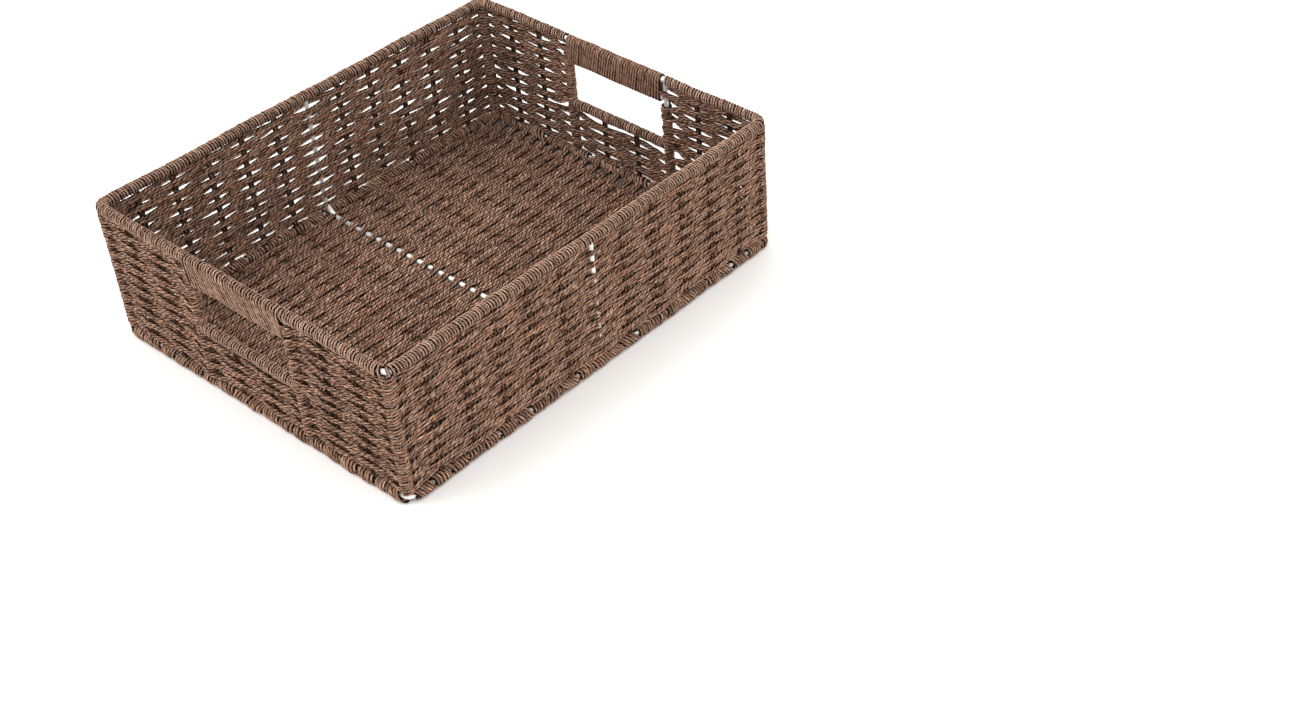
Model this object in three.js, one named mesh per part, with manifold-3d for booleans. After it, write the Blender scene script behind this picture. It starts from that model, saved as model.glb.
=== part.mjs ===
// Shallow woven storage basket with a hand hold in each short side.
//
// A steel wire frame (rim, base, four corner posts, one centre hoop and the wires
// round each hand hold) carries paper warp cords. Twisted paper twine is woven
// through the warps as four wall panels and a base, and is wound tightly round
// the rim, the grips, the sills and the base edge.
//
// Millimetres. +X along the long side, +Y across, +Z up, resting face at Z = 0.
// left is -X, right is +X, front is -Y, back is +Y.

import * as THREE from "three";
import { mergeVertices } from "three/addons/utils/BufferGeometryUtils.js";
import Module from "manifold-3d";

const wasm = await Module();
wasm.setup();

// ---------------------------------------------------------------- driving sizes

const length = 400; // over the wrapped rim, along X
const width = 304; // over the wrapped rim, along Y
const height = 118; // resting face to the top of the rim
const cornerBend = 7; // bend of the rim, base and walls, on the centre line
const lean = 4; // how far the rim sits off the base along X and Y, woven by hand

const twine = 2.4; // twisted paper twine, also used for the warp cords
const rimRod = 4.8; // rim wire
const baseRod = 3.4; // base wire
const postRod = 3.6; // corner posts, jambs and centre hoop
const gripRod = 4.8; // grip and sill wires

const gripHeight = 26; // top of the rim to the underside of the grip
const openingHeight = 34; // underside of the grip to the top of the sill
const handleSpan = 103; // between the two jambs of a hand hold, centre to centre

const longBays = 12; // warp spaces along a long side
const sideBays = 3; // warp spaces between a jamb and its corner post
const sillBays = 3; // warp spaces below a hand hold

const gap = 0.3; // between pieces that touch on the real basket
const facets = 8; // sides of a rod, cord or winding

// --------------------------------------------------------------- derived sizes

const rimWinding = rimRod + 2 * twine;
const gripWinding = gripRod + 2 * twine;
const baseWinding = baseRod + 2 * twine;
const weave = 3 * twine; // a warp with twine passing on both sides of it

const halfLength = (length - rimWinding) / 2;
const halfWidth = (width - rimWinding) / 2;
const rimZ = height - rimWinding / 2;
const baseZ = baseWinding / 2;
const gripZ = height - gripHeight + gripWinding / 2;
const sillZ = height - gripHeight - openingHeight - gripWinding / 2;

const railTop = rimZ - rimRod / 2 - gap; // uprights end below the rim wire
const railBottom = baseZ + baseRod / 2 + gap; // and start above the base wire
const wallBottom = baseWinding + gap;
const wallTop = height - rimWinding - gap;

const warpPitch = (2 * halfLength) / longBays;
const jambY = handleSpan / 2;
const gripHalf = jambY - postRod / 2 - gap; // grip and sill end at the jambs
const openingHalf = jambY - postRod / 2 - twine; // twine turns round each jamb
const sidePitch = (halfWidth - jambY) / sideBays;
const sillPitch = handleSpan / sillBays;

// ------------------------------------------------------------------- materials

const steel = new THREE.MeshStandardMaterial({ color: 0xc4c2bd, roughness: 0.32, metalness: 1 });
const cord = new THREE.MeshStandardMaterial({ color: 0x5e463b, roughness: 0.9, metalness: 0 });
const wallTwine = new THREE.MeshStandardMaterial({ color: 0x7d6154, roughness: 0.88, metalness: 0 });
const rimTwine = new THREE.MeshStandardMaterial({ color: 0xa58672, roughness: 0.85, metalness: 0 });

// ------------------------------------------------------------- paths and sweeps

const at = (x, y, z) => new THREE.Vector3(x, y, z);

// A path through a fixed list of points, whose tangent at each point is the
// bisector of its two neighbours, so a swept section is mitred.
class PointPath extends THREE.Curve {
  constructor(points) {
    super();
    this.points = points;
  }

  getPointAt(u, target = new THREE.Vector3()) {
    return target.copy(this.points[Math.round(u * (this.points.length - 1))]);
  }

  getTangentAt(u, target = new THREE.Vector3()) {
    const last = this.points.length - 1;
    const i = Math.round(u * last);
    const here = this.points[i];
    const ahead = this.points[Math.min(i + 1, last)].clone().sub(here).normalize();
    const behind = here.clone().sub(this.points[Math.max(i - 1, 0)]).normalize();
    return target.copy(ahead).add(behind).normalize();
  }
}

// Straight runs through the given corners, each inner corner turned as an arc.
function bent(corners, radius, arcSteps = 4) {
  const path = [corners[0]];
  for (let i = 1; i < corners.length - 1; i += 1) {
    const corner = corners[i];
    const back = corners[i - 1].clone().sub(corner).normalize();
    const ahead = corners[i + 1].clone().sub(corner).normalize();
    const half = back.angleTo(ahead) / 2;
    const start = corner.clone().addScaledVector(back, radius / Math.tan(half));
    const end = corner.clone().addScaledVector(ahead, radius / Math.tan(half));
    const toCentre = back.clone().add(ahead).normalize();
    const centre = corner.clone().addScaledVector(toCentre, radius / Math.sin(half));
    const from = start.sub(centre);
    const to = end.sub(centre);
    const swing = from.angleTo(to);
    for (let step = 0; step <= arcSteps; step += 1) {
      const turned = (swing * step) / arcSteps;
      const point = centre.clone();
      point.addScaledVector(from, Math.sin(swing - turned) / Math.sin(swing));
      point.addScaledVector(to, Math.sin(turned) / Math.sin(swing));
      path.push(point);
    }
  }
  path.push(corners[corners.length - 1]);
  return path;
}

// The same path with both ends carried on by a distance.
function overrun(path, distance) {
  const longer = path.map((point) => point.clone());
  const last = longer.length - 1;
  longer[0].addScaledVector(path[0].clone().sub(path[1]).normalize(), distance);
  longer[last].addScaledVector(path[last].clone().sub(path[last - 1]).normalize(), distance);
  return longer;
}

// A regular section with flats facing along both axes, that far across.
function roundSection(diameter) {
  const section = [];
  const radius = diameter / 2 / Math.cos(Math.PI / facets);
  for (let i = 0; i < facets; i += 1) {
    const angle = ((i + 0.5) * 2 * Math.PI) / facets;
    section.push(new THREE.Vector2(radius * Math.cos(angle), radius * Math.sin(angle)));
  }
  return section;
}

function rod(path, diameter) {
  return new THREE.ExtrudeGeometry(new THREE.Shape(roundSection(diameter)), {
    steps: path.length - 1,
    extrudePath: new PointPath(path),
  });
}

// An outline in X and Y, raised from one height to another.
function raised(outline, bottom, top) {
  const shape = new THREE.Shape(outline);
  const geometry = new THREE.ExtrudeGeometry(shape, { depth: top - bottom, bevelEnabled: false });
  return geometry.translate(0, 0, bottom);
}

function box(low, high) {
  const size = high.clone().sub(low);
  const centre = low.clone().add(high).multiplyScalar(0.5);
  return new THREE.BoxGeometry(size.x, size.y, size.z).translate(centre.x, centre.y, centre.z);
}

// --------------------------------------------------------------- solid cutting

function toSolid(geometry) {
  const bare = geometry.clone();
  bare.deleteAttribute("normal");
  bare.deleteAttribute("uv");
  const merged = mergeVertices(bare, 1e-4);
  const vertProperties = new Float32Array(merged.attributes.position.array);
  const triVerts = new Uint32Array(merged.index.array);
  return new wasm.Manifold(new wasm.Mesh({ numProp: 3, vertProperties, triVerts }));
}

function toGeometry(solid) {
  const mesh = solid.getMesh();
  const geometry = new THREE.BufferGeometry();
  geometry.setAttribute("position", new THREE.BufferAttribute(mesh.vertProperties, 3));
  geometry.setIndex(new THREE.BufferAttribute(mesh.triVerts, 1));
  geometry.computeVertexNormals();
  return geometry;
}

function cut(blank, tools) {
  const solid = tools.reduce((rest, tool) => rest.subtract(toSolid(tool)), toSolid(blank));
  return toGeometry(solid);
}

// --------------------------------------------------------------- wires and cords

// Everything that is a rod or a cord: its name, path, thickness and finish.
const lines = [];

function addLine(name, path, diameter, material) {
  lines.push({ name, path, diameter, material });
}

// A rectangular hoop at one height. Its two ends meet in a butt joint half way
// between two warps on the back.
function hoopPath(z) {
  const joint = 1.5 * warpPitch;
  const corners = [
    at(joint + gap / 2, halfWidth, z),
    at(halfLength, halfWidth, z),
    at(halfLength, -halfWidth, z),
    at(-halfLength, -halfWidth, z),
    at(-halfLength, halfWidth, z),
    at(joint - gap / 2, halfWidth, z),
  ];
  return bent(corners, cornerBend);
}

// Down the back wall, across the base and up the front wall, turning just
// inside the winding of the base wire.
function hoopUnderBase(x, diameter) {
  const turn = (baseWinding / 2 + diameter / 2 + gap) / (Math.SQRT2 - 1);
  const corners = [
    at(x, halfWidth, railTop),
    at(x, halfWidth, baseZ),
    at(x, -halfWidth, baseZ),
    at(x, -halfWidth, railTop),
  ];
  return bent(corners, turn);
}

const upright = (x, y, bottom, top) => [at(x, y, bottom), at(x, y, top)];
const crossbar = (x, z) => [at(x, -gripHalf, z), at(x, gripHalf, z)];

const ends = [
  { side: "left", x: -halfLength },
  { side: "right", x: halfLength },
];
const faces = [
  { face: "front", sign: -1 },
  { face: "back", sign: 1 },
];

addLine("rim_wire", hoopPath(rimZ), rimRod, steel);
addLine("base_wire", hoopPath(baseZ), baseRod, steel);
addLine("centre_hoop", hoopUnderBase(0, postRod), postRod, steel);

// A corner post stands on the middle of the bend.
const postInset = cornerBend * (1 - Math.SQRT1_2);
for (const { side, x } of ends) {
  for (const { face, sign } of faces) {
    const postX = x - Math.sign(x) * postInset;
    const postY = sign * (halfWidth - postInset);
    addLine(`corner_post_${face}_${side}`, upright(postX, postY, railBottom, railTop), postRod, steel);
    addLine(`jamb_wire_${face}_${side}`, upright(x, sign * jambY, railBottom, railTop), postRod, steel);
  }
  addLine(`grip_wire_${side}`, crossbar(x, gripZ), gripRod, steel);
  addLine(`sill_wire_${side}`, crossbar(x, sillZ), gripRod, steel);
}

for (let i = 1; i < longBays; i += 1) {
  const x = -halfLength + i * warpPitch;
  if (i !== longBays / 2) {
    addLine(`warp_cord_${i}`, hoopUnderBase(x, twine), twine, cord);
  }
}

for (const { side, x } of ends) {
  for (const { face, sign } of faces) {
    for (let i = 1; i < sideBays; i += 1) {
      const y = sign * (jambY + i * sidePitch);
      addLine(`side_cord_${face}_${side}_${i}`, upright(x, y, railBottom, railTop), twine, cord);
    }
  }
  for (let i = 1; i < sillBays; i += 1) {
    const y = -jambY + i * sillPitch;
    const top = sillZ - gripRod / 2 - gap;
    addLine(`sill_cord_${side}_${i}`, upright(x, y, railBottom, top), twine, cord);
  }
}

// ------------------------------------------------------- woven and wound pieces

// The channel that each wire or cord needs through the twine round it.
const channels = lines.map(({ path, diameter }) => {
  const geometry = rod(overrun(path, gap), diameter + 2 * gap);
  geometry.computeBoundingBox();
  return geometry;
});

// A woven or wound piece, cut clear of every wire and cord that runs in it.
function threaded(blank, extraTools = []) {
  blank.computeBoundingBox();
  const near = channels.filter((channel) => channel.boundingBox.intersectsBox(blank.boundingBox));
  return cut(blank, [...extraTools, ...near]);
}

const pieces = [];

function addPiece(name, geometry, material) {
  pieces.push({ name, geometry, material });
}

// Base: a flat woven sheet inside the winding of the base wire.
function baseOutline() {
  const inset = baseWinding / 2 + gap;
  const x = halfLength - inset;
  const y = halfWidth - inset;
  const corners = [at(0, -y, 0), at(x, -y, 0), at(x, y, 0), at(-x, y, 0), at(-x, -y, 0), at(-gap, -y, 0)];
  return bent(corners, cornerBend).map((point) => new THREE.Vector2(point.x, point.y));
}
addPiece("base_weave", threaded(raised(baseOutline(), 0, baseWinding)), wallTwine);

// Wall: a woven sheet that turns half way round the bend at both ends. It is
// laid out along +Y as the front wall of a basket half as long as its run.
function wallOutline(halfRun, offset) {
  const outer = [];
  const inner = [];
  const steps = 3;
  const mitre = gap / Math.SQRT2 / 2;
  for (const sign of [-1, 1]) {
    for (let step = 0; step <= steps; step += 1) {
      const share = sign < 0 ? steps - step : step;
      const angle = (share * Math.PI) / 4 / steps;
      const x = halfRun - cornerBend;
      const reach = (radius) => x + radius * Math.sin(angle) - mitre;
      const depth = (radius) => offset + cornerBend - radius * Math.cos(angle) - mitre;
      outer.push(new THREE.Vector2(sign * reach(cornerBend + weave / 2), depth(cornerBend + weave / 2)));
      inner.push(new THREE.Vector2(sign * reach(cornerBend - weave / 2), depth(cornerBend - weave / 2)));
    }
  }
  return [...outer, ...inner.reverse()];
}

// A long wall stands on a front or back face, a short wall on a left or right.
for (const { face, sign } of faces) {
  const blank = raised(wallOutline(halfLength, -halfWidth), wallBottom, wallTop);
  blank.rotateZ(sign < 0 ? 0 : Math.PI);
  addPiece(`wall_weave_${face}`, threaded(blank), wallTwine);
}

// The hand hold: the clear opening, with room for the sill and the grip, which
// run on as far as the jambs.
function handHold(x) {
  const reach = rimWinding;
  const slot = (half, bottom, top) => box(at(x - reach, -half, bottom), at(x + reach, half, top));
  const sillBottom = sillZ - gripWinding / 2 - gap;
  const sillTop = sillZ + gripWinding / 2 + gap;
  const gripBottom = height - gripHeight - gap;
  return [
    slot(openingHalf, sillBottom, height),
    slot(gripHalf + gap, sillBottom, sillTop),
    slot(gripHalf + gap, gripBottom, height),
  ];
}

for (const { side, x } of ends) {
  const blank = raised(wallOutline(halfWidth, -halfLength), wallBottom, wallTop);
  blank.rotateZ((Math.sign(x) * Math.PI) / 2);
  addPiece(`wall_weave_${side}`, threaded(blank, handHold(x)), wallTwine);
}

// A straight winding along a long side. It is cut on the front side, and the
// back one is the same piece turned half way round.
function longWinding(half, z, diameter, sign) {
  const run = [at(-half, -halfWidth, z), at(half, -halfWidth, z)];
  const winding = threaded(rod(run, diameter));
  winding.rotateZ(sign < 0 ? 0 : Math.PI);
  return winding;
}

// Rim winding: the two long sides, and four short stretches that turn the
// corners between a long side and a grip.
const rimHalf = halfLength - cornerBend - twine;
for (const { face, sign } of faces) {
  addPiece(`rim_winding_${face}`, longWinding(rimHalf, rimZ, rimWinding, sign), rimTwine);
  for (const { side, x } of ends) {
    const corners = [
      at(x, sign * (gripHalf + gap), rimZ),
      at(x, sign * halfWidth, rimZ),
      at(Math.sign(x) * (rimHalf + gap), sign * halfWidth, rimZ),
    ];
    addPiece(`rim_winding_${face}_${side}`, threaded(rod(bent(corners, cornerBend), rimWinding)), rimTwine);
  }
}

// Grip winding: twine wound round the rim wire and the grip wire together.
function gripOutline() {
  const top = roundSection(rimWinding).map((point) => new THREE.Vector2(point.x, point.y + rimZ));
  const bottom = roundSection(gripWinding).map((point) => new THREE.Vector2(point.x, point.y + gripZ));
  const upper = top.filter((point) => point.y > rimZ);
  const lower = bottom.filter((point) => point.y < gripZ);
  return [...upper, ...lower];
}
for (const { side, x } of ends) {
  const shape = new THREE.Shape(gripOutline());
  const grip = new THREE.ExtrudeGeometry(shape, { depth: 2 * gripHalf, bevelEnabled: false });
  grip.rotateX(Math.PI / 2);
  grip.translate(x, gripHalf, 0);
  addPiece(`grip_winding_${side}`, threaded(grip), rimTwine);
  addPiece(`sill_winding_${side}`, threaded(rod(crossbar(x, sillZ), gripWinding)), rimTwine);
}

// Base edge winding: one stretch along each side, between the bends.
const straightX = halfLength - cornerBend;
const straightY = halfWidth - cornerBend;
for (const { face, sign } of faces) {
  addPiece(`base_winding_${face}`, longWinding(straightX, baseZ, baseWinding, sign), wallTwine);
}
for (const { side, x } of ends) {
  const run = [at(x, -straightY, baseZ), at(x, straightY, baseZ)];
  addPiece(`base_winding_${side}`, threaded(rod(run, baseWinding)), wallTwine);
}

for (const { name, path, diameter, material } of lines) {
  addPiece(name, rod(path, diameter), material);
}

// -------------------------------------------------------------------- assembly

// The rim sits a little towards the back left of the base.
const slope = lean / (rimZ - baseZ);
const leaning = new THREE.Matrix4().set(1, 0, -slope, 0, 0, 1, slope, 0, 0, 0, 1, 0, 0, 0, 0, 1);

const basket = new THREE.Group();
for (const { name, geometry, material } of pieces) {
  const mesh = new THREE.Mesh(geometry.applyMatrix4(leaning), material);
  mesh.name = name;
  basket.add(mesh);
}

// Bring the middle of the outer box, seen from above, onto the origin.
const middle = new THREE.Box3().setFromObject(basket).getCenter(new THREE.Vector3());
basket.position.set(-middle.x, -middle.y, 0);

export default basket;
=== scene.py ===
"""A shallow open basket woven from twisted paper twine on a bright wire frame.

Lengths in this file are millimetres and are turned to metres where a mesh is
made. X runs along the basket, Y across it and Z up, as in the frame. Every
strand is laid out on an upright basket, and lean() then moves it sideways with
its height, because the rim sits a little off the base.
"""

import math

import bpy
import numpy as np
from mathutils import Matrix, Vector


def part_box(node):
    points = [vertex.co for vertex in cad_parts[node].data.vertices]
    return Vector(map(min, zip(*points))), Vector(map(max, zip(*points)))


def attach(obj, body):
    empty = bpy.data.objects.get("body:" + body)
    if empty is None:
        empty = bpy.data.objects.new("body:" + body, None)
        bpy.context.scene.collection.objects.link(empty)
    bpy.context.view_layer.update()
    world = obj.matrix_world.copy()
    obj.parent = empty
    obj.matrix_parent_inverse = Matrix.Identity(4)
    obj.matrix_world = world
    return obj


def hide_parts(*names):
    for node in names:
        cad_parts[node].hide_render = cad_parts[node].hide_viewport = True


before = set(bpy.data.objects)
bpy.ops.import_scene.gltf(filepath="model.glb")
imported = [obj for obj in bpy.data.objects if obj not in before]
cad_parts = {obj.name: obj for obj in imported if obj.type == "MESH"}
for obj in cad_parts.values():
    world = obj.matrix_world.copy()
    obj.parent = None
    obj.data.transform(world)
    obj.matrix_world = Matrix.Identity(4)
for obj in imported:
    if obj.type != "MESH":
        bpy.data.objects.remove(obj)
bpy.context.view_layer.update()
MM = 0.001

# ------------------------------------------------------------ sizes of the frame


def middle(node, axis):
    """Middle of a node of the frame along one axis."""
    low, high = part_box(node)
    return (low[axis] + high[axis]) / 2 / MM


HALF_X = (middle("base_winding_right", 0) - middle("base_winding_left", 0)) / 2
HALF_Y = (middle("base_winding_back", 1) - middle("base_winding_front", 1)) / 2
BASE_Z = middle("base_winding_front", 2)
RIM_Z = middle("rim_winding_front", 2)
BASE_AT = np.array(
    [
        (middle("base_winding_right", 0) + middle("base_winding_left", 0)) / 2,
        (middle("base_winding_back", 1) + middle("base_winding_front", 1)) / 2,
    ]
)
RIM_AT = np.array(
    [
        (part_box("rim_winding_front_left")[0][0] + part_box("rim_winding_front_right")[1][0])
        / 2 / MM,
        (middle("rim_winding_back", 1) + middle("rim_winding_front", 1)) / 2,
    ]
)
SILL_Z = middle("sill_winding_left", 2)
JAMB_Y = (middle("jamb_wire_back_left", 1) - middle("jamb_wire_front_left", 1)) / 2
GRIP_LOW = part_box("grip_winding_left")[0][2] / MM

TWINE = 2.4  # thickness of one twine where it is pressed on
LOOSE = 1.44  # half thickness of a twine in the walls, where it lies free
BASE_LOOSE = 1.6  # the same in the base
RIM_TURN = 1.36  # the same where it is wound on the rim and the sills
RIM_PITCH = 2.46  # from one turn to the next there
PLY_TURN = 14.0  # length in which its three plies go once round each other
STEP = 1.3  # distance between two sections of a twine
BEND = 7.0  # bend of the rim, base and walls
SWING = 1.6  # how far a row stands off the middle of a warp pair
BASE_SWING = 1.0  # the same in the base
POST_WIRE = 1.8  # half thickness of the posts, jambs and centre hoop
POST_SWING = POST_WIRE + TWINE * 0.75  # SWING at a jamb
HOOP_SWING = SWING + 0.5  # SWING at the centre hoop
CORNER_SWING = 2.6  # SWING at a corner post
SIDE_SWING = (0.85, 1.05, 1.05, 0.85)  # share of it on the front, right, back and left
LONG_BAYS = 12  # spaces between the warps of a long wall
SIDE_BAYS = 3  # and between a jamb and its corner
ROWS = 20
SILL_ROWS = 7  # rows that pass under the hand holds
BASE_ROWS = 49
FIRST_GAP, LAST_GAP = 2.1, 0.3  # bare space under the first row and over the last
RIM_WIRE = 2.4  # half thicknesses of the rim and base wires
BASE_WIRE = 1.7
RIM_LAY = 3.15  # from the middle of the rim wire to the middle of the twine wound on it

rng = np.random.default_rng(11)


def lean(points):
    """Moves points sideways by a share of their height, from where the base
    sits to where the rim sits."""
    share = (points[..., 2:3] - BASE_Z) / (RIM_Z - BASE_Z)
    shift = BASE_AT + share * (RIM_AT - BASE_AT)
    return np.concatenate([points[..., :2] + shift, points[..., 2:3]], axis=-1)


def wander(s, length, amount):
    """Smooth unevenness along s: three sine waves of random phase, the longest
    one length long and the others lower as they get shorter. The 1.3 brings
    their sum to about amount."""
    phase = rng.uniform(0, 2 * np.pi, 3)
    waves = [
        np.sin(2 * np.pi * s / length * k + p) / k for k, p in zip((1, 1.73, 2.91), phase)
    ]
    return amount * np.sum(waves, axis=0) / 1.3


def unit(vectors):
    """Each vector divided by its length."""
    return vectors / np.linalg.norm(vectors, axis=-1, keepdims=True)


def evenly(points, step=STEP, closed=False):
    """The same line with points an equal distance apart. Columns after the
    third are carried along with the points."""
    if closed:
        points = np.vstack([points, points[:1]])
    gaps = np.linalg.norm(np.diff(points[:, :3], axis=0), axis=1)
    along = np.concatenate([[0], np.cumsum(gaps)])
    count = max(4, round(along[-1] / step))
    places = np.linspace(0, along[-1], count + 1)
    if closed:
        places = places[:-1]
    return np.column_stack([np.interp(places, along, column) for column in points.T])


# ---------------------------------------------------------------- a single twine

# The section of a twine of three plies: nine points at these angles, drawn in
# from the half thickness by these shares. Each third point lies in a groove.
PLY_ANGLES = np.radians([-32, 32, 60, 88, 152, 180, 208, 272, 300])
PLY_DIP = np.array([0, 0, 0.42] * 3)
# PLY_CROWN is 1 on a ply and 0 in a groove: the material paints shade in the grooves from it
PLY_CROWN = np.array([1.0, 1.0, 0.0] * 3)
TURN_SPREAD = 0.06  # share by which PLY_TURN differs from twine to twine
DRIFT, DRIFT_LENGTH = 1.2, 90  # radians that the plies run ahead or behind, and over what
SLOW_SWELL, SLOW_LENGTH = 0.05, 47  # thick and thin places: share of the thickness,
FAST_SWELL, FAST_LENGTH = 0.03, 9  # and their length
GRAIN_RUN = 5000  # the grain of a twine starts at random within this length
END_CAP = 0.3  # how far the middle of an end stands out


class Bundle:
    """Strands that become one mesh."""

    def __init__(self):
        self.points, self.faces, self.grain, self.form, self.count = [], [], [], [], 0

    def lay(self, line, up, closed=False, half=LOOSE, groove=1.0):
        """Adds a twine along a line. At each point of the line the section of
        three plies is turned by an angle in proportion to the length so far, in
        the plane across the line, and the sections are joined by triangles.
        groove is the share of the full depth that the grooves have. up points to
        the neighbours of the twine, so that a point is as open to view as its
        direction from the line is square to up. The material paints shade in the
        grooves and where a point is less open to view, and a highlight on the
        open tops of the plies."""
        upright = np.broadcast_to(np.asarray(up, float), line[:, :3].shape)
        data = evenly(np.column_stack([line[:, :3], upright]), closed=closed)
        line, upright = data[:, :3], data[:, 3:]
        n = len(line)
        if closed:
            heading = np.roll(line, -1, axis=0) - np.roll(line, 1, axis=0)
        else:
            heading = np.gradient(line, axis=0)
        heading = unit(heading)
        side = unit(np.cross(upright, heading))
        top = np.cross(heading, side)
        pace = np.linalg.norm(line[1] - line[0])
        along = np.arange(n) * pace
        turn = PLY_TURN * (1 + rng.uniform(-TURN_SPREAD, TURN_SPREAD))
        if closed:
            turn = n * pace / round(n * pace / turn)
        drift = 0 if closed else wander(along, DRIFT_LENGTH, DRIFT)
        angle = -(2 * np.pi * along / turn + drift)[:, None] + PLY_ANGLES
        slow = wander(along, SLOW_LENGTH, SLOW_SWELL)
        uneven = 1 + slow + wander(along, FAST_LENGTH, FAST_SWELL)
        reach = half * uneven[:, None] * (1 - groove * PLY_DIP)
        ring = (
            line[:, None]
            + (reach * np.cos(angle))[..., None] * side[:, None]
            + (reach * np.sin(angle))[..., None] * top[:, None]
        )
        start = rng.uniform(0, GRAIN_RUN)
        sections = len(PLY_ANGLES)
        grain = np.stack(
            [
                np.broadcast_to(along[:, None] + start, reach.shape),
                reach * np.cos(PLY_ANGLES),
                reach * np.sin(PLY_ANGLES),
            ],
            axis=-1,
        )
        steps = n if closed else n - 1
        i = np.arange(steps)[:, None]
        k = np.arange(sections)[None]
        here, there = i * sections, (i + 1) % n * sections
        a, b = here + k, here + (k + 1) % sections
        c, d = there + k, there + (k + 1) % sections
        faces = [np.stack(corners, -1).reshape(-1, 3) for corners in ([a, b, c], [b, d, c])]
        points = [ring.reshape(-1, 3)]
        grains = [grain.reshape(-1, 3)]
        # form: 1 on a ply and 0 in a groove, how open to view a point is, and a random tone of
        # the twine; the material paints shade and highlight from the first two
        form = np.stack(
            [
                np.broadcast_to(PLY_CROWN, reach.shape),
                np.abs(np.cos(angle)),
                np.full(reach.shape, rng.uniform(0, 1)),
            ],
            axis=-1,
        )
        forms = [form.reshape(-1, 3)]
        if not closed:
            k = np.arange(sections)
            first, last = n * sections, n * sections + 1
            back = (n - 1) * sections
            faces.append(np.stack([(k + 1) % sections, k, np.full(sections, first)], -1))
            faces.append(
                np.stack([back + k, back + (k + 1) % sections, np.full(sections, last)], -1)
            )
            points.append(
                np.stack([line[0] - heading[0] * END_CAP, line[-1] + heading[-1] * END_CAP])
            )
            grains.append(np.array([[start, 0, 0], [start + along[-1], 0, 0]]))
            forms.append(np.zeros((2, 3)))
        self.points += points
        self.grain += grains
        self.form += forms
        self.faces += [f + self.count for f in faces]
        self.count += sum(len(p) for p in points)

    def mesh(self, name, material, slot, nodes):
        """One mesh of all strands, leant over, in metres."""
        points = lean(np.vstack(self.points)) * MM
        faces = np.vstack(self.faces)
        mesh = bpy.data.meshes.new(name)
        mesh.vertices.add(len(points))
        mesh.vertices.foreach_set("co", points.astype(np.float32).ravel())
        mesh.loops.add(faces.size)
        mesh.loops.foreach_set("vertex_index", faces.astype(np.int32).ravel())
        mesh.polygons.add(len(faces))
        mesh.polygons.foreach_set("loop_start", np.arange(0, faces.size, 3, dtype=np.int32))
        mesh.polygons.foreach_set("use_smooth", np.ones(len(faces), bool))
        grain = mesh.attributes.new("grain", "FLOAT_VECTOR", "POINT")
        grain.data.foreach_set("vector", np.vstack(self.grain).astype(np.float32).ravel())
        form = mesh.attributes.new("form", "FLOAT_VECTOR", "POINT")
        form.data.foreach_set("vector", np.vstack(self.form).astype(np.float32).ravel())
        mesh.update(calc_edges=True)
        mesh.validate()
        mesh.materials.append(material)
        piece = bpy.data.objects.new(name, mesh)
        bpy.context.scene.collection.objects.link(piece)
        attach(piece, "root")
        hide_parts(*nodes)


# --------------------------------------------------------------------- materials


def linear(hex_colour):
    """An sRGB hex colour as linear red, green, blue and alpha."""
    parts = [int(hex_colour[i : i + 2], 16) / 255 for i in (1, 3, 5)]
    return [p / 12.92 if p <= 0.04045 else ((p + 0.055) / 1.055) ** 2.4 for p in parts] + [1.0]


def add(tree, kind, links=None, values=None, **settings):
    """Adds a node: settings are its properties, values its sockets by name or
    number, and links the sockets that other nodes feed."""
    node = tree.nodes.new("ShaderNode" + kind)
    for name, value in settings.items():
        setattr(node, name, value)
    for name, value in (values or {}).items():
        node.inputs[name].default_value = value
    for name, socket in (links or {}).items():
        tree.links.new(socket, node.inputs[name])
    return node


def new_material(name):
    """An empty node material with a shader joined to its output."""
    material = bpy.data.materials.new(name)
    material.use_nodes = True
    tree = material.node_tree
    tree.nodes.clear()
    shader = add(tree, "BsdfPrincipled")
    add(tree, "OutputMaterial", {"Surface": shader.outputs[0]})
    return material, tree, shader


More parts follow.
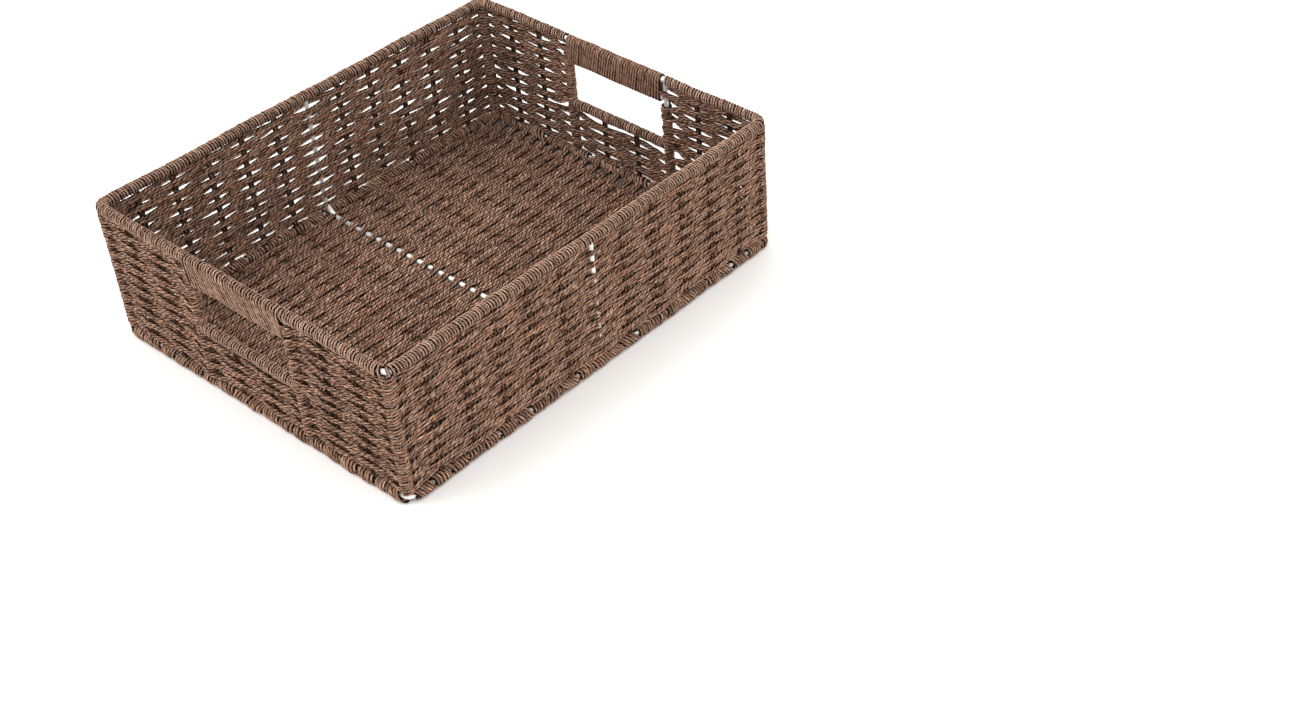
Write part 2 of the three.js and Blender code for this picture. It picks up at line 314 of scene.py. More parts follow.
def twisted_paper(
    name, dark, light, groove=0.0, beside=0.03, hidden=0.42, patchy=(0.76, 1.24)
):
    """Twisted paper twine: matt, a little furry, with creases along the plies.
    Shade is painted into its colour in the grooves between the plies and in
    the cracks between a twine and its neighbours, and a highlight is painted
    on the tops of the plies that are open to view. groove and beside are how
    light the painted shade leaves the grooves and the cracks, hidden is how
    open to view a point is where such a painted crack begins, and patchy is
    the range of the summed noises that runs from the dark colour to the light
    one."""
    material, tree, shader = new_material(name)
    grain = add(tree, "Attribute", attribute_name="grain", attribute_type="GEOMETRY")
    # creases about 0.3 mm apart across a ply and some 4 mm long
    crease_at = add(
        tree, "Mapping", {"Vector": grain.outputs["Vector"]}, {"Scale": (0.28, 3.2, 3.2)}
    )
    crease = add(
        tree, "TexNoise", {"Vector": crease_at.outputs[0]}, {"Scale": 1.0, "Detail": 3.0}
    )
    # each ply is paler or darker over some 6 mm at a time
    fleck_at = add(
        tree, "Mapping", {"Vector": grain.outputs["Vector"]}, {"Scale": (0.16, 0.6, 0.6)}
    )
    fleck = add(tree, "TexNoise", {"Vector": fleck_at.outputs[0]}, {"Scale": 1.0, "Detail": 1.0})
    # the dye changes slowly along a twine, over some 50 mm
    dye_at = add(
        tree, "Mapping", {"Vector": grain.outputs["Vector"]}, {"Scale": (0.022, 0.05, 0.05)}
    )
    dye = add(tree, "TexNoise", {"Vector": dye_at.outputs[0]}, {"Scale": 1.0, "Detail": 2.0})
    creased = add(
        tree, "Math", {0: crease.outputs[0], 2: fleck.outputs[0]}, {1: 0.5},
        operation="MULTIPLY_ADD",
    )
    mixed = add(
        tree, "Math", {0: dye.outputs[0], 2: creased.outputs[0]}, {1: 0.4},
        operation="MULTIPLY_ADD",
    )
    # the form of the twine: 0 in a groove and 1 on a ply; 0 where the twine
    # faces its neighbours and 1 where it is open to view; and its own random
    # tone. The first two paint shade and highlight into the colour below.
    form = add(tree, "Attribute", attribute_name="form", attribute_type="GEOMETRY")
    split = add(tree, "SeparateXYZ", {"Vector": form.outputs["Vector"]})
    own = add(
        tree, "Math", {0: split.outputs["Z"], 2: mixed.outputs[0]}, {1: 0.1},
        operation="MULTIPLY_ADD",
    )
    tone = add(
        tree, "MapRange", {"Value": own.outputs[0]},
        {"From Min": patchy[0], "From Max": patchy[1]},
    )
    colour = add(
        tree, "MixRGB", {"Fac": tone.outputs[0]},
        {"Color1": linear(dark), "Color2": linear(light)},
    )
    # more dye also makes the twine a little redder
    warmth = add(
        tree, "MapRange", {"Value": dye.outputs[0]}, {"From Min": 0.42, "From Max": 0.68}
    )
    dyed = add(
        tree, "MixRGB", {"Fac": warmth.outputs[0], "Color1": colour.outputs[0]},
        {"Color2": linear("#ffe9da")}, blend_type="MULTIPLY",
    )
    # painted shade and highlight on the plies: a groove is darkened to groove, and the top of a
    # ply is painted lighter, up to 1.2
    painted_ply_shading = add(
        tree, "MapRange", {"Value": split.outputs["X"]},
        {"From Min": 0.25, "From Max": 0.95, "To Min": groove, "To Max": 1.2},
    )
    # painted shade in the cracks where a twine faces its neighbours, down to beside, and a
    # painted highlight, up to 1.2, where it is open to view
    clear = add(
        tree, "MapRange", {"Value": split.outputs["Y"]},
        {"From Min": hidden, "From Max": 0.95, "To Min": beside, "To Max": 1.2},
    )
    # the painted shade and highlight of the plies and of the cracks, multiplied into the colour
    shade = add(tree, "Math", {0: painted_ply_shading.outputs[0], 1: clear.outputs[0]}, operation="MULTIPLY")
    shaded = add(
        tree, "MixRGB", {"Color1": dyed.outputs[0], "Color2": shade.outputs[0]}, {"Fac": 1.0},
        blend_type="MULTIPLY",
    )
    tree.links.new(shaded.outputs[0], shader.inputs["Base Color"])
    bump = add(
        tree, "Bump", {"Height": crease.outputs[0]}, {"Strength": 0.6, "Distance": 0.0005}
    )
    tree.links.new(bump.outputs[0], shader.inputs["Normal"])
    shader.inputs["Roughness"].default_value = 0.85
    shader.inputs["Specular IOR Level"].default_value = 0.06
    shader.inputs["Sheen Weight"].default_value = 0.015
    shader.inputs["Sheen Roughness"].default_value = 0.5
    shader.inputs["Sheen Tint"].default_value = linear("#e8d2c2")
    return material


def drawn_steel():
    """Steel wire taken as zinc-plated. The surface is half metal and half pale
    diffuse colour, which is a painted reflection of the bright studio and keeps
    the wire white where the metal would mirror the dark basket. Dull spots about
    8 mm apart make it rougher in places. The fine lines of drawing are about
    1 mm apart."""
    material, tree, shader = new_material("drawn_steel_wire")
    place = add(tree, "TexCoord")
    drawn_at = add(
        tree, "Mapping", {"Vector": place.outputs["Object"]}, {"Scale": (900, 900, 900)}
    )
    drawn = add(
        tree, "TexNoise", {"Vector": drawn_at.outputs[0]}, {"Scale": 1.0, "Detail": 3.0}
    )
    dull = add(
        tree, "TexNoise", {"Vector": place.outputs["Object"]}, {"Scale": 120.0, "Detail": 2.0}
    )
    spots = add(
        tree, "MapRange", {"Value": dull.outputs[0]}, {"From Min": 0.3, "From Max": 0.7}
    )
    colour = add(
        tree, "MixRGB", {"Fac": spots.outputs[0]},
        {"Color1": linear("#cfcdc8"), "Color2": linear("#f2f1ee")},
    )
    tree.links.new(colour.outputs[0], shader.inputs["Base Color"])
    rough = add(
        tree, "MapRange", {"Value": dull.outputs[0]},
        {"From Min": 0.3, "From Max": 0.7, "To Min": 0.55, "To Max": 0.42},
    )
    tree.links.new(rough.outputs[0], shader.inputs["Roughness"])
    bump = add(
        tree, "Bump", {"Height": drawn.outputs[0]}, {"Strength": 0.15, "Distance": 0.0001}
    )
    tree.links.new(bump.outputs[0], shader.inputs["Normal"])
    # half metal: the pale diffuse half is a painted reflection of the bright studio
    shader.inputs["Metallic"].default_value = 0.5
    return material


WALL_TWINE = twisted_paper("twisted_paper_twine_walls", "#55331f", "#cba893")
# The twine of the rim, the sills and the left grip is painted a little paler than that of the
# walls: painted light on the well-lit top of the basket. Its grooves are painted less dark and
# its cracks darker.
RIM_TWINE = twisted_paper(
    "twisted_paper_twine_rim", "#573829", "#d9b7a2", groove=0.25, beside=0.0, hidden=0.6,
    patchy=(0.6, 1.35),
)
EDGE_TWINE = twisted_paper(
    "twisted_paper_twine_base_edge", "#4a2b1d", "#c5a28c", groove=0.25, beside=0.0, hidden=0.5,
    patchy=(0.65, 1.3),
)
WARP_TWINE = twisted_paper("twisted_paper_twine_warps", "#341e14", "#8c6d5b")
STEEL = drawn_steel()

for name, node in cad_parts.items():
    if "wire" in name or "post" in name or "hoop" in name:
        node.data.materials.clear()
        node.data.materials.append(STEEL)

# ------------------------------------------------------------- line of the walls

LONG, SHORT = 2 * HALF_X, 2 * HALF_Y
ROUND = 2 * (LONG + SHORT)
# start, heading, outward direction, where it begins and length of each side
SIDES = [
    ((-HALF_X, -HALF_Y), (1, 0), (0, -1), 0, LONG),
    ((HALF_X, -HALF_Y), (0, 1), (1, 0), LONG, SHORT),
    ((HALF_X, HALF_Y), (-1, 0), (0, 1), LONG + SHORT, LONG),
    ((-HALF_X, HALF_Y), (0, -1), (-1, 0), 2 * LONG + SHORT, SHORT),
]


def wall_line(u):
    """Points and outward directions on the line of the walls. u is the distance
    round the basket from the front left corner. Each side is straight, and
    within one bend of a corner it follows a circle through 45 degrees."""
    u = np.mod(u, ROUND)
    place, outward = np.zeros((len(u), 2)), np.zeros((len(u), 2))
    for start, ahead, out, first, length in SIDES:
        start, ahead, out = np.array(start), np.array(ahead, float), np.array(out, float)
        mine = (u >= first) & (u < first + length)
        v = u[mine] - first
        near, far = v < BEND, v > length - BEND
        turned = np.where(near, -(1 - v / BEND), np.where(far, 1 - (length - v) / BEND, 0))
        angle = turned * np.pi / 4
        centre = np.where(near, BEND, np.where(far, length - BEND, v))
        direction = np.cos(angle)[:, None] * out + np.sin(angle)[:, None] * ahead
        place[mine] = start + centre[:, None] * ahead - BEND * out + BEND * direction
        outward[mine] = direction
    return place, outward


def warps():
    """Where the warps stand round the basket, and how far a row stands off
    each. That is less than the half thicknesses of the two together, so a row
    and a warp share some room where they cross."""
    side = (HALF_Y - JAMB_Y) / SIDE_BAYS
    long_side = [(k * LONG / LONG_BAYS, SWING) for k in range(LONG_BAYS)]
    long_side[0] = (0.0, CORNER_SWING)
    long_side[LONG_BAYS // 2] = (LONG_BAYS // 2 * LONG / LONG_BAYS, HOOP_SWING)
    short_side = [(0, CORNER_SWING), (side, SWING), (2 * side, SWING), (3 * side, POST_SWING)]
    short_side += [(3 * side + JAMB_Y * 2 / 3, SWING), (3 * side + JAMB_Y * 4 / 3, SWING)]
    short_side += [(SHORT - 3 * side, POST_SWING), (SHORT - 2 * side, SWING)]
    short_side += [(SHORT - side, SWING)]
    found = []
    firsts = (0, LONG, LONG + SHORT, 2 * LONG + SHORT)
    for first, these, swing in zip(firsts, (long_side, short_side) * 2, SIDE_SWING):
        found += [(first + u, off * swing if off <= HOOP_SWING else off) for u, off in these]
    return np.array(found)


WARPS = warps()
COUNT = len(WARPS)
LAP = np.vstack([WARPS - [ROUND, 0], WARPS, WARPS + [ROUND, 0]])
LAP_NUMBER = np.arange(-COUNT, 2 * COUNT)


def row_height(row):
    """Height of a row: even steps from the base edge to the rim."""
    first = 2 * BASE_Z + FIRST_GAP
    last = RIM_Z - RIM_WIRE - TWINE - LAST_GAP
    return first + (last - first) * (row + 0.5) / ROWS


def weave(number):
    """How far a row is to one side, from 1 at an even warp to -1 at an odd one:
    the cosine of the warp number times pi, to the power 1.5 with its sign kept,
    so close to the middle between the warps and bowed out where it passes one."""
    swing = np.cos(np.pi * number)
    return np.sign(swing) * np.abs(swing) ** 1.5


TIGHT = rng.uniform(0.72, 1.18, (ROWS, COUNT))  # share of its swing at each warp
POST_FROM = SWING * 1.05 + 0.55  # a row swings fully where it stands off further
HOOP_ROWS = 14  # on the front wall this many rows pass outside the centre hoop:
HOOP_WIDTH, HOOP_OUT, HOOP_CALM = 7, 1.3, 0.7  # over what width, how far out, less swing


def row_line(u, row, lift):
    """One twine of a row. Seen from above it swings from one side of each warp
    to the other side of the next, more at some warps than at others."""
    number = np.interp(u, LAP[:, 0], LAP_NUMBER)
    off = np.interp(u, LAP[:, 0], LAP[:, 1])
    tight = np.append(TIGHT[row], TIGHT[row][0])
    snug = np.interp(np.mod(number, COUNT), np.arange(COUNT + 1), tight)
    swing = (-1) ** row * off * np.where(off > POST_FROM, 1, snug) * weave(number)
    if row < HOOP_ROWS:
        cover = np.exp(-(((np.mod(u + LONG, ROUND) - 1.5 * LONG) / HOOP_WIDTH) ** 2))
        swing = swing * (1 - HOOP_CALM * cover) + HOOP_OUT * cover
    place, outward = wall_line(u)
    xy = place + outward * (swing + wander(u, ROUND / 11, 0.15))[:, None]
    z = row_height(row) + lift + wander(u, ROUND / 37, 0.12) + wander(u, ROUND / 64, 0.2)
    return np.column_stack([xy, z])


PITCH = row_height(1) - row_height(0)
PAIR = (-PITCH / 4, PITCH / 4)


def uneven_rows():
    """For each row, how its height strays along the basket."""
    return [
        (rng.uniform(0, 2 * np.pi, 3), rng.uniform(0.15, 0.4), rng.integers(7, 31, 3))
        for _ in range(ROWS)
    ]


STRAY = uneven_rows()


def stray(u, row):
    """Rise and fall of a row: three sine waves of whole numbers round the basket."""
    phase, amount, waves = STRAY[row]
    return amount * sum(
        np.sin(2 * np.pi * u / ROUND * w + p) for w, p in zip(waves, phase)
    )


def lower_rows():
    """Rows below the hand holds: closed rings right round the basket."""
    u = np.linspace(0, ROUND, 2400, endpoint=False)
    for part, rows in enumerate((range(0, 3), range(3, 5), range(5, SILL_ROWS))):
        bundle = Bundle()
        for row in rows:
            for lift in PAIR:
                line = row_line(u, row, lift)
                line[:, 2] += stray(u, row)
                bundle.lay(line, (0, 0, 1), closed=True)
        bundle.mesh(
            f"lower_weave_{part + 1}", WALL_TWINE, "woven_twine",
            ["wall_weave_front", "wall_weave_back", "wall_weave_left", "wall_weave_right"],
        )


FAN_WIDTH = 24  # distance from a jamb within which the rows gather
FAN_FROM = [58, 70, 76, 84, 94, 98, 108]  # heights of the rows away from the jamb
FAN_TO = [59.5, 68.5, 77.5, 83, 88.5, 101, 106]  # and at it


def fan(u, row, low, high):
    """Near a jamb the rows gather in groups, which leaves holes between the
    groups. The lift of a row grows with the square of its nearness."""
    z = row_height(row)
    away = np.minimum(np.abs(u - low), np.abs(u - high))
    share = np.clip(1 - away / FAN_WIDTH, 0, 1) ** 2
    target = np.interp(z, FAN_FROM, FAN_TO)
    return share * (target - z)


def upper_rows():
    """Rows between the hand holds: at each jamb a row turns round it and comes
    back on the other face as the next row."""
    reach = HALF_Y - JAMB_Y
    for face, low, high in (
        ("front", -reach, LONG + reach),
        ("back", LONG + SHORT - reach + 0.6, 2 * LONG + SHORT + reach),
    ):
        u = np.linspace(low, high, 1400)
        for side, lift_sign in (("a", 1), ("b", -1)):
            bundle = Bundle()
            pieces = []
            for row in range(SILL_ROWS, ROWS):
                lift = PITCH / 4 * lift_sign * (-1) ** row
                line = row_line(u, row, lift)
                line[:, 2] += stray(u, row) + fan(u, row, low, high)
                if (row - SILL_ROWS) % 2:
                    line = line[::-1]
                if pieces:
                    at = high if (row - SILL_ROWS) % 2 else low
                    pieces.append(jamb_turn(pieces[-1][-1], line[0], at))
                pieces.append(line)
            bundle.lay(np.vstack(pieces), (0, 0, 1))
            bundle.mesh(
                f"upper_weave_{face}_{side}", WALL_TWINE, "woven_twine",
                ["wall_weave_front", "wall_weave_back", "wall_weave_left", "wall_weave_right"],
            )


def jamb_turn(begin, end, at):
    """Half a turn round a jamb from one point to another, as part of a
    circle seen from above."""
    place, outward = wall_line(np.array([at]))
    place, outward = place[0], outward[0]
    toward = np.array([0.0, -np.sign(place[1])])
    reach = (begin[:2] - place) @ outward
    angle = np.linspace(0, np.pi, 14)[1:-1]
    radius = abs(reach)
    across = np.cos(angle)[:, None] * reach * outward
    xy = place + across + np.sin(angle)[:, None] * radius * toward
    z = begin[2] + (end[2] - begin[2]) * (1 - np.cos(angle)) / 2
    return np.column_stack([xy, z])


# ------------------------------------------------------------------- windings


TURN_POINTS = 22  # points of one turn


def wound(bundle, path, across, reach, pitch, half, shape=None, tilt=None, bulge=None):
    """Twine of a half thickness wound round a path: a helix whose angle grows
    with the length along the path. across is a direction square to the path,
    shape is the closed outline that one turn follows instead of a circle, tilt
    is how far a turn leans along the path, and bulge what is added to reach.
    Turns crowd and spread a little, and stand off more and less."""
    gaps = np.linalg.norm(np.diff(path, axis=0), axis=1)
    along = np.concatenate([[0], np.cumsum(gaps)])
    turns = along[-1] / pitch
    count = int(turns * TURN_POINTS)
    turn = np.linspace(0, turns, count)
    inside = np.clip(np.minimum(turn, turns - turn) / 2, 0, 1)
    crowd = wander(turn, 13, 0.12) + wander(turn, 3.1, 0.08)
    where = (turn + crowd * inside) / turns * along[-1]
    centre = np.column_stack([np.interp(where, along, column) for column in path.T])
    one = np.column_stack([np.interp(where, along, column) for column in across.T])
    ahead = unit(np.gradient(path, axis=0))
    axis = unit(np.column_stack([np.interp(where, along, column) for column in ahead.T]))
    one = unit(one - np.sum(one * axis, axis=1, keepdims=True) * axis)
    two = np.cross(axis, one)
    size = reach + wander(turn, 2.3, 0.1) + wander(turn, 5.3, 0.12) + wander(turn, 31, 0.15)
    if bulge is not None:
        size = size + bulge(where)
    if shape is None:
        a, b = np.cos(2 * np.pi * turn) * size, np.sin(2 * np.pi * turn) * size
    else:
        a, b = shape(turn % 1)
    line = centre + a[:, None] * one + b[:, None] * two
    if tilt is not None:
        line = line + (tilt(where) * b / max(abs(b).max(), 1))[:, None] * axis
    # a turn that would pass under the floor lies flat on it
    line[:, 2] = np.maximum(line[:, 2], half)
    bundle.lay(line, axis, half=half, groove=0.55)


RIM_PAST = 0.4  # the left ends run this much past the jambs
RIM_SHORT = 1  # and the front right one stops short
BARE_LEFT, BARE_RIGHT = -1.3, 1.1  # bare rim wire at the front left corner


def rim_windings():
    """Rim between the hand holds: turns right round the rim wire and its bends."""
    reach = HALF_Y - JAMB_Y
    front = (-reach - RIM_PAST, LONG + reach - RIM_SHORT)
    back = (LONG + SHORT - reach, 2 * LONG + SHORT + reach + RIM_PAST)
    for face, parts in (
        ("front", [(BARE_LEFT, front[0]), (BARE_RIGHT, front[1])]),
        ("back", [back]),
    ):
        bundle = Bundle()
        for first, last in parts:
            u = np.linspace(first, last, 1200)
            place, outward = wall_line(u)
            z = RIM_Z + wander(u, 140, 0.35)
            place = place + outward * wander(u, 170, 0.35)[:, None]
            path = np.column_stack([place, z])
            upward = np.tile([0.0, 0.0, 1.0], (len(u), 1))

            def tilt(where, phase=rng.uniform(0, 2 * np.pi)):
                return 0.5 + 0.5 * np.sin(where / 9 + phase) * np.sin(where / 31)

            wound(bundle, path, upward, RIM_LAY, RIM_PITCH, RIM_TURN, tilt=tilt)
        bundle.mesh(
            f"rim_turns_{face}", RIM_TWINE, "wound_twine",
            [f"rim_winding_{face}", f"rim_winding_{face}_left", f"rim_winding_{face}_right"],
        )


def stadium(reach, drop):
    """One turn round two wires, one above the other: two half circles joined
    by straight sides. Returns how far out and up at each share of a turn."""
    bow = np.linspace(0, np.pi, 12)
    out = np.concatenate([reach * np.cos(bow), reach * np.cos(bow + np.pi), [reach]])
    up = np.concatenate([reach * np.sin(bow), -drop + reach * np.sin(bow + np.pi), [0]])
    gaps = np.hypot(np.diff(out), np.diff(up))
    lengths = np.concatenate([[0], np.cumsum(gaps)])
    lengths /= lengths[-1]
    return lambda share: (np.interp(share, lengths, out), np.interp(share, lengths, up))


# side, its sign, slant of a turn, bare wire at the ends, pitch, half thickness, material
GRIPS = (
    ("left", -1, 5.5, (1.2, 1.2), 2.78, 1.48, RIM_TWINE),
    ("right", 1, 3.0, (3.6, 1.6), 2.46, 1.38, EDGE_TWINE),
)
GRIP_EASE = 12  # the slant grows from nothing over this length at each end


def hand_holds():
    """Grip: twine wound round the rim wire and the grip wire together.
    Sill: twine wound round the sill wire."""
    drop = RIM_Z - GRIP_LOW - RIM_WIRE - TWINE
    for side, sign, slant, ends, pitch, half, twine in GRIPS:
        y = np.linspace(-JAMB_Y + ends[0], JAMB_Y - ends[1], 300)
        x = np.full(len(y), sign * HALF_X)
        bundle = Bundle()
        path = np.column_stack([x, y, RIM_Z + wander(y, 60, 0.25)])
        across = np.tile([float(sign), 0, 0], (len(y), 1))
        ring = stadium(RIM_LAY, drop + RIM_WIRE + TWINE / 2 - RIM_LAY)

        def shape(share, ring=ring, sign=sign):
            out, up = ring(share)
            return out, -up * sign

        def tilt(where, slant=slant, ends=ends):
            room = np.minimum(where, 2 * JAMB_Y - sum(ends) - where)
            return slant * np.clip(room / GRIP_EASE, 0, 1)

        wound(bundle, path, across, RIM_LAY, pitch, half, shape=shape, tilt=tilt)
        bundle.mesh(f"grip_turns_{side}", twine, "wound_twine", [f"grip_winding_{side}"])
        bundle = Bundle()
        path = np.column_stack([x, y, SILL_Z + wander(y, 50, 0.25)])
        wound(bundle, path, across, RIM_LAY, RIM_PITCH, RIM_TURN)
        bundle.mesh(f"sill_turns_{side}", RIM_TWINE, "wound_twine", [f"sill_winding_{side}"])


EDGE_START, EDGE_END = 5.5, 4.5  # bare wire on each side of the front left corner


def base_edge():
    """Winding of the base wire: turns in groups, with a gap and a change of
    thickness from one group to the next. One corner is left bare."""
    bundle = Bundle()
    half_bay = LONG / LONG_BAYS / 2
    low = EDGE_START
    while low < ROUND - 6:
        between = rng.choice([-0.5, 0.3, 2.2], p=[0.45, 0.35, 0.2])
        high = min(low + half_bay - between, ROUND - EDGE_END)
        u = np.linspace(low, high, 40)
        place, outward = wall_line(u)
        place = place + outward * rng.uniform(-0.3, 0.3)
        path = np.column_stack([place, np.full(len(u), BASE_Z + rng.uniform(0.1, 0.45))])
        across = np.column_stack([outward, np.zeros(len(u))])
        group = high - low

        def bulge(where, group=group, extra=rng.uniform(0.2, 1.1)):
            return extra * np.sin(np.pi * np.clip(where / group, 0, 1))

        def tilt(where, slant=rng.uniform(-3.2, 3.2)):
            return slant * np.ones_like(where)

        half = rng.uniform(1.35, 1.65)
        pitch = half * rng.uniform(1.75, 1.95)
        wound(
            bundle, path, across, BASE_WIRE + TWINE / 2, pitch, half, tilt=tilt, bulge=bulge
        )
        low += half_bay
    bundle.mesh(
        "base_edge_turns", EDGE_TWINE, "woven_twine",
        ["base_winding_front", "base_winding_back", "base_winding_left", "base_winding_right"],
    )


POST_LAY, JAMB_LAY = 3.5, 3.0  # from the middle of the wire to the middle of the twine
POST_PITCH, POST_TURN = 2.55, 1.4
POST_TOP, BARE_POST_TOP = 109, 111.5  # the second one where the rim is bare
JAMB_LOW, JAMB_TOP, BARE_JAMB_TOP = 9, 106, 91  # the last one at the front right


def upright_windings():
    """Twine wound round the corner posts and the jambs. The rows run into it."""
    bundle = Bundle()
    inset = BEND * (1 - math.sqrt(0.5))
    for sx in (-1, 1):
        for sy in (-1, 1):
            x, y = sx * (HALF_X - inset), sy * (HALF_Y - inset)
            top = BARE_POST_TOP if sx < 0 and sy < 0 else POST_TOP
            bare = BARE_JAMB_TOP if sx > 0 and sy < 0 else JAMB_TOP
            for px, py, low, high, lay in (
                (x, y, 2 * BASE_Z + 1.0, top, POST_LAY),
                (sx * HALF_X, sy * JAMB_Y, JAMB_LOW, bare, JAMB_LAY),
            ):
                z = np.linspace(low, high, 60)
                path = np.column_stack([np.full(60, px), np.full(60, py), z])
                across = np.tile([float(sx), 0, 0], (60, 1))

                def tilt(where, phase=rng.uniform(0, 2 * np.pi)):
                    return 1.2 * np.sin(where / 13 + phase)

                wound(bundle, path, across, lay, POST_PITCH, POST_TURN, tilt=tilt)
    bundle.mesh("corner_and_jamb_turns", EDGE_TWINE, "woven_twine", [])


# ----------------------------------------------------------------- base and warps


BASE_MARGIN, BASE_END = 2.2, 1.5  # bare space beside the outer rows and at their ends
HOOP_RISE, HOOP_REACH = 2.3, 3.5  # a row's swing at the centre hoop, and over what width
END_RISE, END_REACH = 1.1, 7  # the same at the ends
GATHER_FROM, GATHER_OVER, GATHER_CURVE = 4, 17, 1.15


def base_rows():
    """Rows of the base: pairs along X that swing over and under the warps, and
    gather two by two over the wires at the ends. The pull towards the partner
    row falls from the end inwards, as the power GATHER_CURVE of what is left of
    GATHER_OVER."""
    half = HALF_Y - BASE_Z - BASE_MARGIN
    pitch = 2 * half / BASE_ROWS
    bay = LONG / LONG_BAYS
    x = np.linspace(-HALF_X + BASE_END, HALF_X - BASE_END, 500)
    number = (x + HALF_X) / bay
    off = BASE_SWING + (HOOP_RISE - BASE_SWING) * np.exp(-((x / HOOP_REACH) ** 2))
    off += (END_RISE - BASE_SWING) * np.exp(-(((HALF_X - np.abs(x)) / END_REACH) ** 2))
    pull = {
        (end, row): rng.choice([0.4, 0.95, 1.15], p=[0.2, 0.35, 0.45])
        for end in (-1, 1)
        for row in range(-1, BASE_ROWS + 1)
    }
    for part in range(3):
        bundle = Bundle()
        for row in range(BASE_ROWS):
            if row * 3 // BASE_ROWS != part:
                continue
            y = -half + pitch * (row + 0.5)
            other = 1 if row % 2 == 0 else -1
            partner = {1: row + other, -1: row - other}
            common = wander(x, 170, 0.3)
            for lift in (-pitch / 4, pitch / 4):
                gather = np.zeros(len(x))
                for end in (-1, 1):
                    toward = partner[end] - row
                    away = HALF_X - x * end
                    left = np.clip(1 - (away - GATHER_FROM) / GATHER_OVER, 0, 1)
                    pulled = pull[end, min(row, partner[end])]
                    gather += toward * pitch * 0.5 * pulled * left**GATHER_CURVE
                swing = (-1) ** row * off * weave(number)
                line = np.column_stack(
                    [x, y + lift + common + gather + wander(x, 60, 0.12), BASE_Z + swing]
                )
                bundle.lay(line, (0, 1, 0), half=BASE_LOOSE)
        bundle.mesh(f"base_weave_{part + 1}", WALL_TWINE, "woven_twine", ["base_weave"])


def bent_path(corners, radius):
    """A line through corners. Each is rounded by a quadratic curve that leaves
    and meets the line one radius from the corner."""
    points = [corners[0]]
    for before, corner, after in zip(corners, corners[1:], corners[2:]):
        a, b = unit(before - corner), unit(after - corner)
        start, end = corner + a * radius, corner + b * radius
        t = np.linspace(0, 1, 9)[:, None]
        points += list((1 - t) ** 2 * start + 2 * t * (1 - t) * corner + t**2 * end)
    points.append(corners[-1])
    return np.array(points)


WARP_BEND = 6  # bend of a warp from a wall into the base


def warp_cords():
    """Warps: two twines side by side, down one wall, across the base and up the
    other wall. The short walls have upright ones only."""
    bundle = Bundle()
    top = RIM_Z - 2
    for k in range(1, LONG_BAYS):
        if k == LONG_BAYS // 2:
            continue
        for beside in (-TWINE / 2, TWINE / 2):
            x = -HALF_X + k * LONG / LONG_BAYS + beside
            ends = [(-HALF_Y, top), (-HALF_Y, BASE_Z), (HALF_Y, BASE_Z), (HALF_Y, top)]
            corners = np.array([(x, y, z) for y, z in ends], float)
            bundle.lay(bent_path(corners, WARP_BEND), (1, 0, 0))
    side = (HALF_Y - JAMB_Y) / SIDE_BAYS
    for sx in (-1, 1):
        for y, high in (
            (JAMB_Y / 3, SILL_Z), (-JAMB_Y / 3, SILL_Z),
            (JAMB_Y + side, top), (JAMB_Y + 2 * side, top),
            (-JAMB_Y - side, top), (-JAMB_Y - 2 * side, top),
        ):
            for beside in (-TWINE / 2, TWINE / 2):
                foot, head = (
                    (sx * HALF_X, y + beside, BASE_Z), (sx * HALF_X, y + beside, high)
                )
                bundle.lay(np.array([foot, head], float), (1, 0, 0))
    cords = [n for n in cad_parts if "cord" in n]
    bundle.mesh("warp_pairs", WARP_TWINE, "warp_cord", cords)


lower_rows()
upper_rows()
rim_windings()
hand_holds()
base_edge()
upright_windings()
base_rows()
warp_cords()

# ------------------------------------------------------- floor, light and camera


FLOOR = 6.0  # half the side of the floor, in metres


def floor():
    """A plain pale square."""
    mesh = bpy.data.meshes.new("floor")
    corners = [(-FLOOR, -FLOOR, 0), (FLOOR, -FLOOR, 0), (FLOOR, FLOOR, 0), (-FLOOR, FLOOR, 0)]
    mesh.from_pydata(corners, [], [(0, 1, 2, 3)])
    material, tree, shader = new_material("pale_floor")
    shader.inputs["Base Color"].default_value = linear("#e6e5e3")
    shader.inputs["Roughness"].default_value = 0.9
    mesh.materials.append(material)
    piece = bpy.data.objects.new("floor", mesh)
    bpy.context.scene.collection.objects.link(piece)


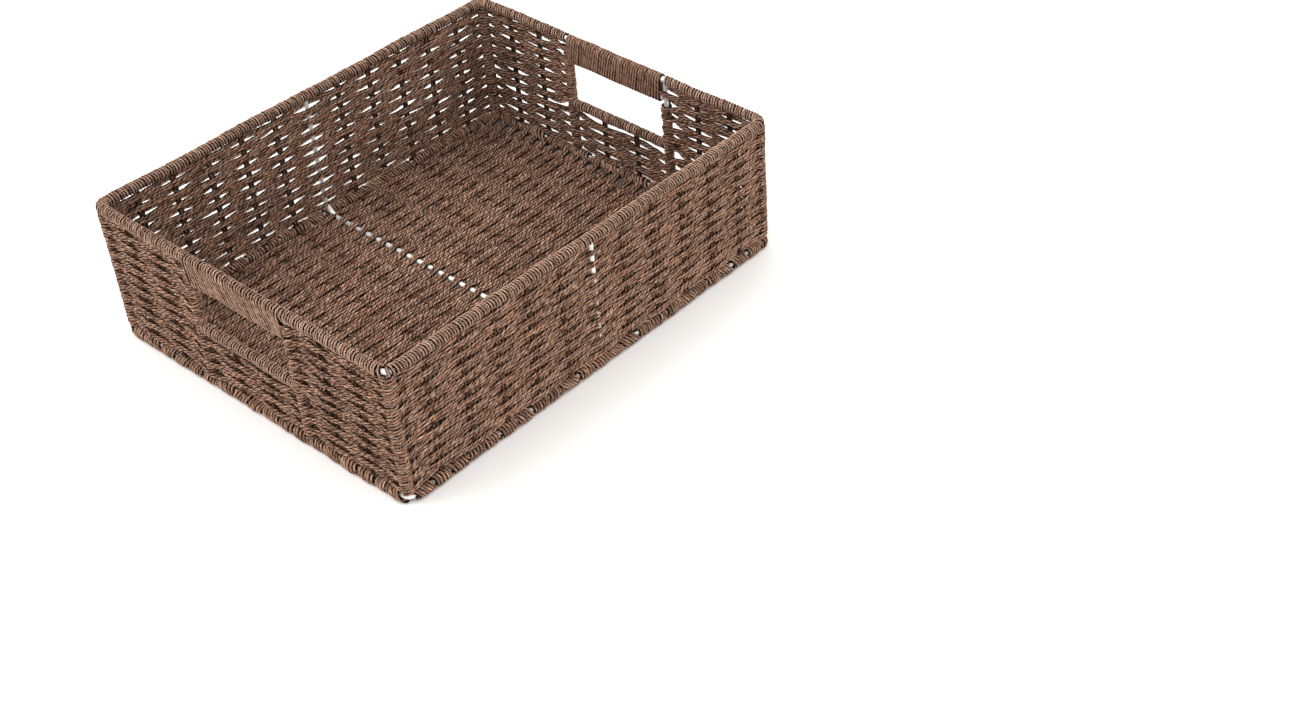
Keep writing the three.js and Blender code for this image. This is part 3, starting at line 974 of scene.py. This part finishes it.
def area_light(name, place, size, power):
    """A square lamp turned towards the basket."""
    data = bpy.data.lights.new(name, "AREA")
    data.size, data.energy = size, power
    lamp = bpy.data.objects.new(name, data)
    bpy.context.scene.collection.objects.link(lamp)
    lamp.location = place
    lamp.rotation_mode = "QUATERNION"
    lamp.rotation_quaternion = (-Vector(place)).to_track_quat("-Z", "Y")


def light():
    """White light from all round, and one soft lamp behind on the left. Places
    and sizes of lamps are in metres. The standard view transform keeps the
    floor and background white."""
    world = bpy.data.worlds.new("studio")
    bpy.context.scene.world = world
    bpy.context.scene.view_settings.view_transform = "Standard"
    world.use_nodes = True
    background = world.node_tree.nodes["Background"]
    background.inputs["Color"].default_value = (1.0, 1.0, 1.0, 1.0)
    background.inputs["Strength"].default_value = 1.7
    area_light("key", (-1.1, 0.9, 1.9), 1.2, 20)


# The camera: azimuth, elevation and roll in degrees, distance and aim in mm,
# focal length in image widths.
AZIMUTH, ELEVATION, ROLL = 310.683, 38.982, -0.566
AIM = np.array([-30.88, -225.08, 60.0])
DISTANCE = 1324.05
FOCAL = 1944.18 / 1301


SENSOR = 36.0


def camera():
    """A camera at DISTANCE from AIM, in the direction of its azimuth and
    elevation, turned about its own axis by its roll."""
    az, el, roll = (math.radians(a) for a in (AZIMUTH, ELEVATION, ROLL))
    back = np.array([math.sin(az) * math.cos(el), -math.cos(az) * math.cos(el), math.sin(el)])
    level = np.array([math.cos(az), math.sin(az), 0.0])
    up = np.cross(back, level)
    right = math.cos(roll) * level + math.sin(roll) * up
    top = -math.sin(roll) * level + math.cos(roll) * up
    data = bpy.data.cameras.new("camera")
    data.sensor_width = SENSOR
    data.lens = FOCAL * SENSOR
    data.clip_start, data.clip_end = 0.05, 50
    eye = bpy.data.objects.new("camera", data)
    bpy.context.scene.collection.objects.link(eye)
    turned = np.eye(4)
    turned[:3, 0], turned[:3, 1], turned[:3, 2] = right, top, back
    turned[:3, 3] = (AIM + back * DISTANCE) * MM
    eye.matrix_world = Matrix(turned.tolist())
    bpy.context.scene.camera = eye


floor()
light()
camera()
